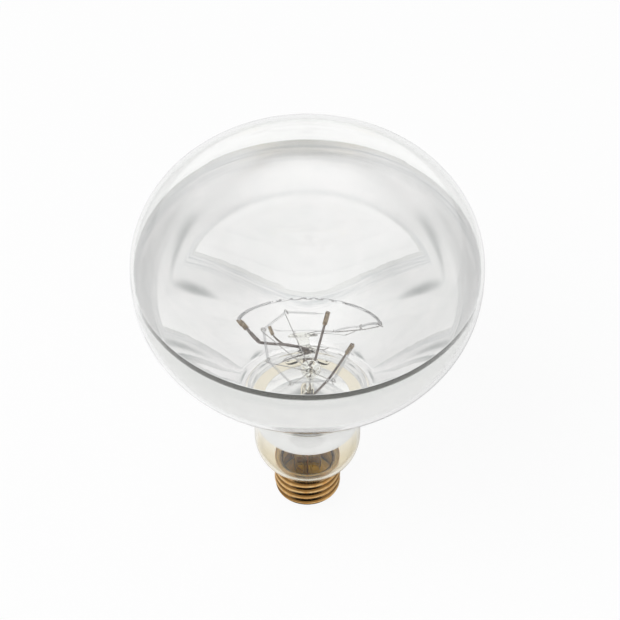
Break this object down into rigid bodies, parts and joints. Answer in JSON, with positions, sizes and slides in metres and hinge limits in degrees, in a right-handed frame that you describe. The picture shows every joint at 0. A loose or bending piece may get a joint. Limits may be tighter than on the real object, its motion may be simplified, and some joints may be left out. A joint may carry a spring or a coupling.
{
  "type": "heat lamp bulb",
  "caption": "Clear-faced reflector heat lamp bulb with a mirrored bowl, a coiled filament on wire supports and a medium brass screw base.",
  "frame": {"origin": "lowest point of the lamp, in the middle of the flat solder tip of the centre contact", "axes": "+Z along the axis of screw and bulb, from the centre contact to the face; -Y is the side that faces the viewer in the picture"},
  "size_m": [0.127, 0.127, 0.1718],
  "materials": {
    "clear_glass": "clear blown soft glass, very slightly warm",
    "mirror_film": "bright aluminium film on the inside of the glass",
    "bright_aluminium": "bright rolled sheet",
    "stem_glass": "clear lead glass, fused and pressed",
    "tungsten": "drawn grey wire, coiled",
    "molybdenum": "thin bright drawn wire",
    "nickel_lead": "nickel-plated rod, heat-tinted brown and grey",
    "clamp_metal": "folded tan strip",
    "shell_brass": "thin rolled brass, slightly tarnished",
    "contact_brass": "stamped brass",
    "solder": "dull tin solder",
    "black_glass": "opaque black moulded glass",
    "cement": "baked brown lamp cement",
    "copper": "bare copper wire"
  },
  "bodies": {
    "root": {"glass_envelope": "clear_glass", "mirror_coating": "mirror_film", "heat_baffle": "bright_aluminium", "stem_flare": "stem_glass", "exhaust_tube": "stem_glass", "glass_arbor": "stem_glass", "filament": "tungsten", "lead_wire_1": "nickel_lead", "lead_wire_2": "nickel_lead", "lead_clamp_1": "clamp_metal", "lead_clamp_2": "clamp_metal", "screw_shell": "shell_brass", "base_insulator": "black_glass", "centre_contact": "contact_brass", "centre_solder": "solder", "side_solder": "solder", "basing_cement": "cement", "side_lead": "copper", "centre_lead": "copper", "support_wire_1": "molybdenum", "support_wire_2": "molybdenum", "support_wire_3": "molybdenum", "support_wire_4": "molybdenum", "support_wire_5": "molybdenum"}
  },
  "joints": []
}
